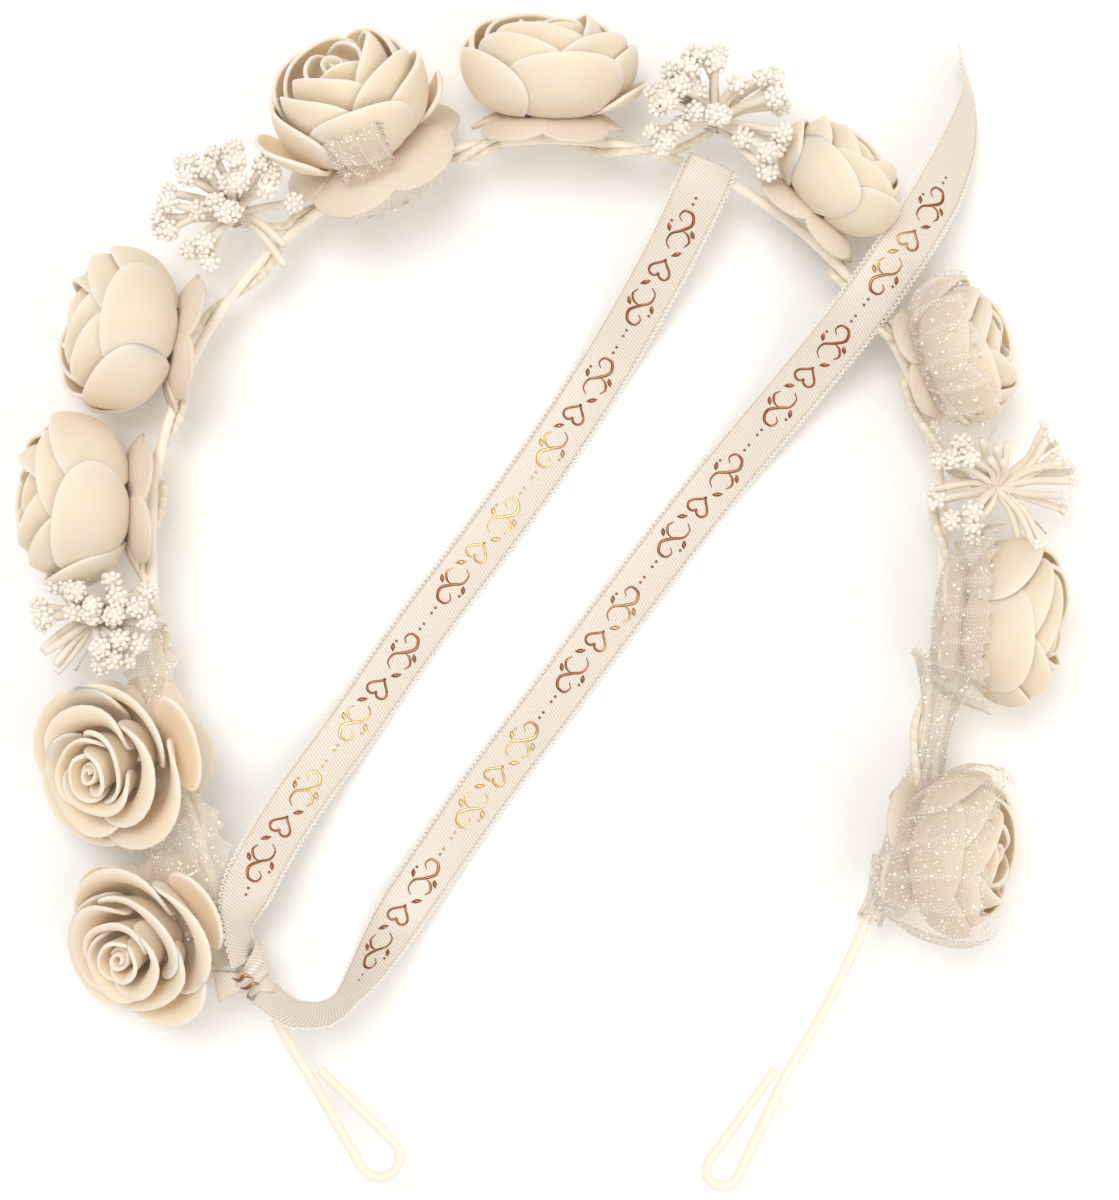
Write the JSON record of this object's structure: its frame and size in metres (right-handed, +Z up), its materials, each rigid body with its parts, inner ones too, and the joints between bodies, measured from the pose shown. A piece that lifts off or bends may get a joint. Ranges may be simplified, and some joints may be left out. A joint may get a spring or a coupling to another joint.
{
  "type": "flower crown",
  "caption": "Open wire headband with foam roses, stamen sprays, glitter tulle and a satin ribbon, and an eye at each end of the wire.",
  "frame": {"origin": "on the table under the middle of the crown, measured without its two ribbon tails", "axes": "+Z up as the crown lies flat, -Y to the front of the crown, +X to the wearer's left; the crown is longest along Y"},
  "size_m": [0.222, 0.2474, 0.0394],
  "materials": {
    "foam": "soft matt expanded polyethylene foam, cream",
    "foam_base": "thin matt foam, slightly greyer cream",
    "stem_covering": "matt white covering on thin wire",
    "stamens": "stiffened white thread with matt bead clusters",
    "tie_wire": "thin bright wire",
    "coated_wire": "satin warm white coating over steel wire",
    "satin_ribbon": "champagne satin with picot edges and a rose gold foil print",
    "glitter_tulle": "sheer white net with fine glitter"
  },
  "bodies": {
    "root": {"rose_front_base_petals": "foam_base", "rose_front_petals": "foam", "rose_front_bud": "foam", "rose_front_stem": "stem_covering", "rose_front_left_base_petals": "foam_base", "rose_front_left_petals": "foam", "rose_front_left_bud": "foam", "rose_front_left_stem": "stem_covering", "rose_left_upper_base_petals": "foam_base", "rose_left_upper_petals": "foam", "rose_left_upper_bud": "foam", "rose_left_upper_stem": "stem_covering", "rose_left_side_base_petals": "foam_base", "rose_left_side_petals": "foam", "rose_left_side_bud": "foam", "rose_left_side_stem": "stem_covering", "rose_left_lower_base_petals": "foam_base", "rose_left_lower_petals": "foam", "rose_left_lower_bud": "foam", "rose_left_lower_stem": "stem_covering", "rose_left_back_base_petals": "foam_base", "rose_left_back_petals": "foam", "rose_left_back_bud": "foam", "rose_left_back_stem": "stem_covering", "rose_front_right_base_petals": "foam_base", "rose_front_right_petals": "foam", "rose_front_right_bud": "foam", "rose_front_right_stem": "stem_covering", "rose_right_upper_base_petals": "foam_base", "rose_right_upper_petals": "foam", "rose_right_upper_bud": "foam", "rose_right_upper_stem": "stem_covering", "rose_right_side_base_petals": "foam_base", "rose_right_side_petals": "foam", "rose_right_side_bud": "foam", "rose_right_side_stem": "stem_covering", "rose_right_back_base_petals": "foam_base", "rose_right_back_petals": "foam", "rose_right_back_bud": "foam", "rose_right_back_stem": "stem_covering", "stamens_left_front_spray": "stamens", "stamens_left_front_tie": "tie_wire", "stamens_left_side_spray": "stamens", "stamens_left_side_tie": "tie_wire", "stamens_front_right_spray": "stamens", "stamens_front_right_tie": "tie_wire", "stamens_right_side_spray": "stamens", "stamens_right_side_tie": "tie_wire", "wire_band": "coated_wire", "ribbon_knot": "satin_ribbon", "ribbon_tail_short": "satin_ribbon", "ribbon_tail_long": "satin_ribbon", "tulle_wrap_right": "glitter_tulle", "tulle_leaf_left": "glitter_tulle", "tulle_veil_right_upper": "glitter_tulle", "tulle_veil_right_side": "glitter_tulle", "tulle_veil_right_back": "glitter_tulle"},
    "left_end": {"wire_end_left": "coated_wire"},
    "right_end": {"wire_end_right": "coated_wire"}
  },
  "joints": [
    {"name": "left_end_bend", "type": "hinge", "parent": "root", "child": "left_end", "pos_m": [0.05417, 0.08958, 0.01327], "axis": [0, 0, 1], "range_deg": [-20, 20]},
    {"name": "right_end_bend", "type": "hinge", "parent": "root", "child": "right_end", "pos_m": [-0.06663, 0.06989, 0.01327], "axis": [0, 0, 1], "range_deg": [-20, 20]}
  ]
}
